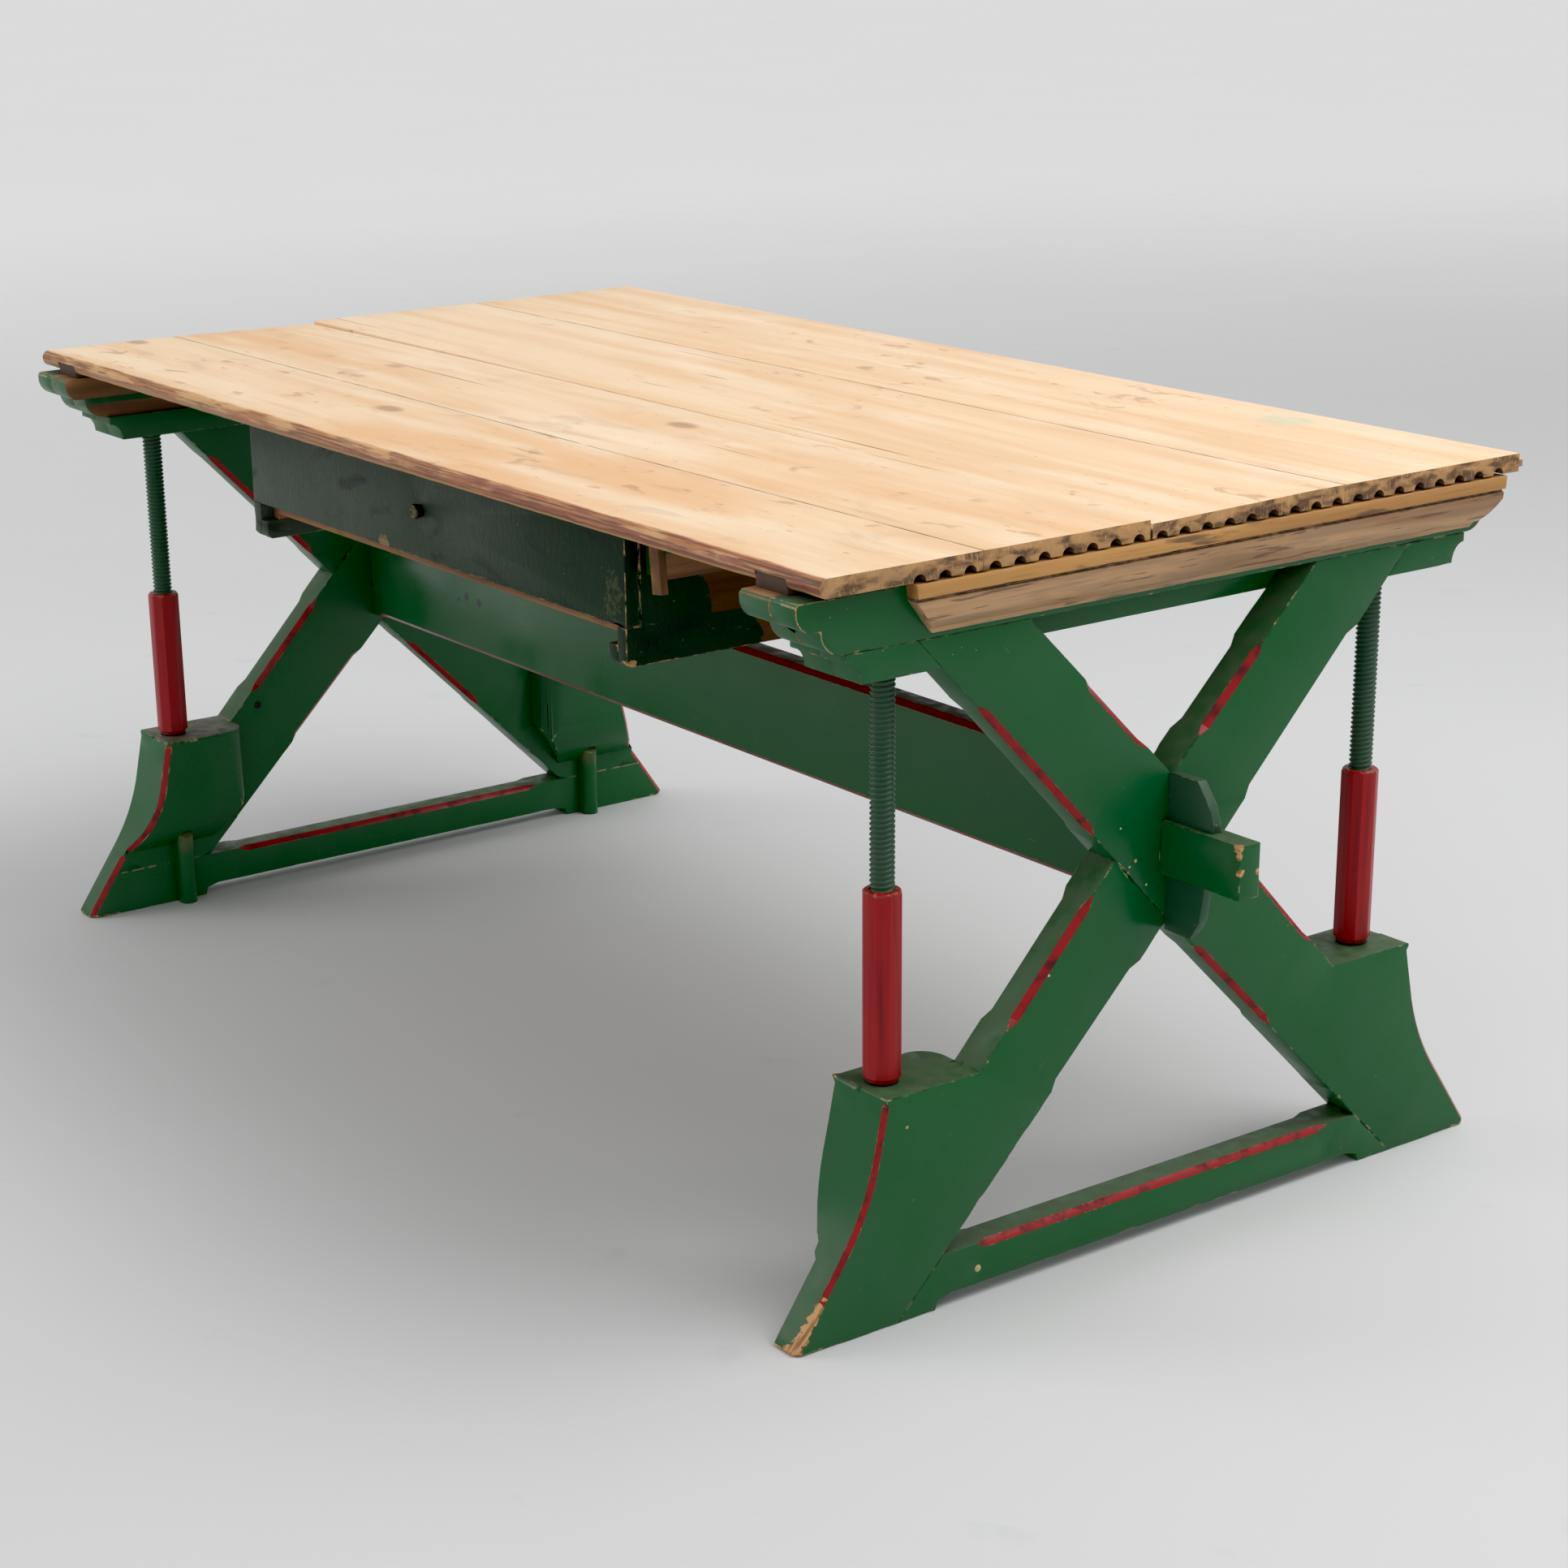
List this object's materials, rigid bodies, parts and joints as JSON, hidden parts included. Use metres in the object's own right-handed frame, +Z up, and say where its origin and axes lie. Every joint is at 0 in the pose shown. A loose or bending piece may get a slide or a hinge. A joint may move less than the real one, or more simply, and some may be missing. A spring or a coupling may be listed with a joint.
{
  "type": "drafting table",
  "caption": "Antique drafting table: crossed-leg trestles, wedged stretcher, wooden jack screws that lift and tilt a planked pine top with a hung drawer.",
  "frame": {"origin": "on the floor, midway between the trestles and between the toe tips", "axes": "+X along the top, +Y from the drawer side to the back, +Z up from the floor"},
  "size_m": [1.922, 0.98, 0.79],
  "materials": {
    "green_paint": "glossy bottle-green oil paint on pine, worn at the edges",
    "red_paint": "crimson oil paint on pine",
    "dark_green_paint": "old blue-green paint, scratched",
    "scrubbed_pine": "bare scrubbed pine with knots and stains",
    "raw_pine": "unpainted aged pine",
    "ochre_moulding": "worn ochre and brown moulding",
    "dark_bronze": "dark patinated knob"
  },
  "bodies": {
    "stand": {"leg_front_right": "green_paint", "leg_rear_right": "green_paint", "leg_front_left": "green_paint", "leg_rear_left": "green_paint", "foot_block_front_right": "green_paint", "foot_block_rear_right": "green_paint", "foot_block_front_left": "green_paint", "foot_block_rear_left": "green_paint", "bottom_rail_right": "green_paint", "bottom_rail_left": "green_paint", "rail_outer_right": "green_paint", "rail_outer_left": "green_paint", "bearer_right": "green_paint", "bearer_left": "green_paint", "corbel_front_right": "green_paint", "corbel_rear_right": "green_paint", "corbel_front_left": "green_paint", "corbel_rear_left": "green_paint", "foot_pegs": "green_paint", "stretcher": "green_paint", "wedge_right": "green_paint", "wedge_left": "green_paint", "rail_inner_right": "raw_pine", "rail_inner_left": "raw_pine", "rail_bar_right": "raw_pine", "rail_bar_left": "raw_pine", "rail_dowels": "raw_pine", "end_moulding_right": "ochre_moulding", "end_moulding_left": "ochre_moulding"},
    "top": {"top_board_1": "scrubbed_pine", "top_board_2": "scrubbed_pine", "top_board_3": "scrubbed_pine", "top_board_4": "scrubbed_pine", "batten_right": "raw_pine", "batten_left": "raw_pine", "hanger_right": "dark_green_paint", "hanger_left": "dark_green_paint", "runner_right": "dark_green_paint", "runner_left": "dark_green_paint", "cleat_right": "raw_pine", "cleat_left": "raw_pine", "stop_stick": "raw_pine"},
    "drawer": {"drawer_front": "dark_green_paint", "drawer_side_right": "raw_pine", "drawer_side_left": "raw_pine", "drawer_back": "raw_pine", "drawer_bottom": "raw_pine", "drawer_knob": "dark_bronze"},
    "screw_front_left": {"screw_front_left": "green_paint"},
    "nut_front_left": {"nut_front_left": "red_paint"},
    "screw_front_right": {"screw_front_right": "green_paint"},
    "nut_front_right": {"nut_front_right": "red_paint"},
    "screw_rear_left": {"screw_rear_left": "green_paint"},
    "nut_rear_left": {"nut_rear_left": "red_paint"},
    "screw_rear_right": {"screw_rear_right": "green_paint"},
    "nut_rear_right": {"nut_rear_right": "red_paint"}
  },
  "joints": [
    {"name": "top_lift", "type": "slide", "parent": "stand", "child": "screw_front_left", "axis": [0, 0, 1], "range_m": [0, 0.12]},
    {"name": "screw_rise_front_right", "type": "slide", "parent": "stand", "child": "screw_front_right", "axis": [0, 0, 1], "range_m": [0, 0.12]},
    {"name": "top_tilt", "type": "hinge", "parent": "screw_front_left", "child": "top", "pos_m": [0, -0.463, 0.765], "axis": [1, 0, 0], "range_deg": [0, 10]},
    {"name": "screw_rise_rear_left", "type": "slide", "parent": "screw_front_left", "child": "screw_rear_left", "axis": [0, 0, 1], "range_m": [0, 0.1363]},
    {"name": "screw_rise_rear_right", "type": "slide", "parent": "screw_front_left", "child": "screw_rear_right", "axis": [0, 0, 1], "range_m": [0, 0.1363]},
    {"name": "nut_turn_front_left", "type": "hinge", "parent": "stand", "child": "nut_front_left", "pos_m": [-0.802, -0.343, 0.25], "axis": [0, 0, 1], "range_deg": [-8152, 0]},
    {"name": "nut_turn_front_right", "type": "hinge", "parent": "stand", "child": "nut_front_right", "pos_m": [0.802, -0.343, 0.25], "axis": [0, 0, 1], "range_deg": [-8152, 0]},
    {"name": "nut_turn_rear_left", "type": "hinge", "parent": "stand", "child": "nut_rear_left", "pos_m": [-0.802, 0.327, 0.25], "axis": [0, 0, 1], "range_deg": [-9248, 0]},
    {"name": "nut_turn_rear_right", "type": "hinge", "parent": "stand", "child": "nut_rear_right", "pos_m": [0.802, 0.327, 0.25], "axis": [0, 0, 1], "range_deg": [-9248, 0]},
    {"name": "drawer_slide", "type": "slide", "parent": "top", "child": "drawer", "axis": [0, -1, 0], "range_m": [0, 0.3]}
  ],
  "couplings": [
    {"joint": "screw_rise_front_right", "follows": "top_lift", "ratio": 1},
    {"joint": "screw_rise_rear_left", "follows": "top_tilt", "m_per_rad": 0.78},
    {"joint": "screw_rise_rear_right", "follows": "top_tilt", "m_per_rad": 0.78},
    {"joint": "nut_turn_front_left", "follows": "top_lift", "rad_per_m": -1185.5},
    {"joint": "nut_turn_front_right", "follows": "top_lift", "rad_per_m": -1185.5},
    {"joint": "nut_turn_rear_left", "follows": "top_tilt", "ratio": -924.7},
    {"joint": "nut_turn_rear_right", "follows": "top_tilt", "ratio": -924.7}
  ]
}
